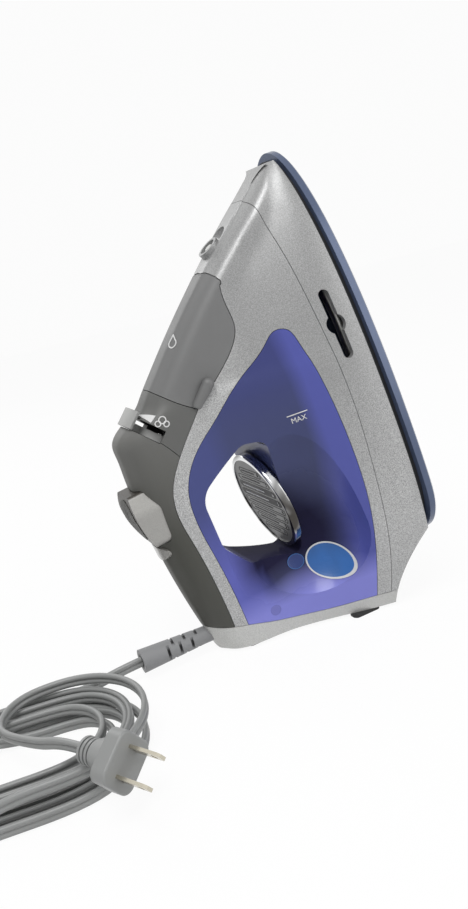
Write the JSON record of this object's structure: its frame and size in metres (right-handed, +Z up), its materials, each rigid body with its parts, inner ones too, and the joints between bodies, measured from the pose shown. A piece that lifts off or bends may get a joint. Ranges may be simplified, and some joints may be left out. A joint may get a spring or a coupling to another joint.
{
  "type": "clothes iron",
  "caption": "Steam iron standing on its heel: silver body, tinted water tank, grey handle with lever and spray button, chrome dial, hinged fill door and a coiled cord with its plug.",
  "frame": {"origin": "centre of the iron's box in plan, at the bottom of the heel feet, without the cord", "axes": "+Z up, nose of the iron up; +X towards the sole; Y across the iron, its plane of symmetry is y = 0"},
  "size_m": [0.3515, 0.185, 0.2657],
  "materials": {
    "sole_metal": "satin, steel-blue rim",
    "inner_metal": "bare",
    "shield_black": "matt",
    "silver": "metallic flake",
    "lavender": "tinted, slightly see-through",
    "handle_grey": "fine grain",
    "door_grey": "fine grain",
    "chrome": "polished",
    "dial_print": "printed",
    "black_plastic": "matt",
    "white_plastic": "matt",
    "board_green": "matt",
    "lens_amber": "clear",
    "foot_rubber": "matt",
    "cord_grey": "satin",
    "blade_metal": "nickel plated"
  },
  "bodies": {
    "iron": {"soleplate": "sole_metal", "heating_element": "inner_metal", "chamber_cover": "inner_metal", "chamber_screws": "inner_metal", "heat_shield": "shield_black", "skirt": "silver", "body_shell": "silver", "spray_nozzle": "black_plastic", "water_tank": "lavender", "tank_base": "lavender", "drip_valve": "inner_metal", "thermostat": "white_plastic", "thermal_fuse": "inner_metal", "door_hinge_pin": "inner_metal", "fill_port": "lavender", "handle_front_cover": "handle_grey", "handle_rear_cover": "handle_grey", "lever_axle": "inner_metal", "lever_bracket": "black_plastic", "pump_body": "white_plastic", "indicator_lens": "lens_amber", "lamp_board": "board_green", "heel_cover": "silver", "heel_feet": "foot_rubber", "heel_screws": "inner_metal", "terminal_block": "white_plastic", "cord_clamp": "white_plastic", "cord_guard": "cord_grey", "power_cord": "cord_grey", "plug_body": "cord_grey", "plug_blades": "blade_metal"},
    "fill_door": {"fill_door": "door_grey"},
    "steam_lever": {"steam_lever": "handle_grey"},
    "burst_button": {"burst_button": "silver", "pump_plunger": "white_plastic"},
    "dial": {"dial_rim": "chrome", "dial_face": "dial_print", "dial_shaft": "inner_metal"}
  },
  "joints": [
    {"name": "fill_door_hinge", "type": "hinge", "parent": "iron", "child": "fill_door", "pos_m": [-0.00572, 0, 0.20424], "axis": [0, 1, 0], "range_deg": [0, 40]},
    {"name": "steam_lever_turn", "type": "hinge", "parent": "iron", "child": "steam_lever", "pos_m": [-0.05322, 0, 0.13007], "axis": [0.6657, 0, 0.7462], "range_deg": [-15, 15]},
    {"name": "burst_button_press", "type": "slide", "parent": "iron", "child": "burst_button", "axis": [0.9903, 0, 0.1392], "range_m": [0, 0.004], "stiffness_N_per_m": 1500},
    {"name": "dial_turn", "type": "hinge", "parent": "iron", "child": "dial", "pos_m": [-0.00152, 0, 0.07588], "axis": [-0.9716, 0, -0.2368], "range_deg": [0, 240]}
  ]
}
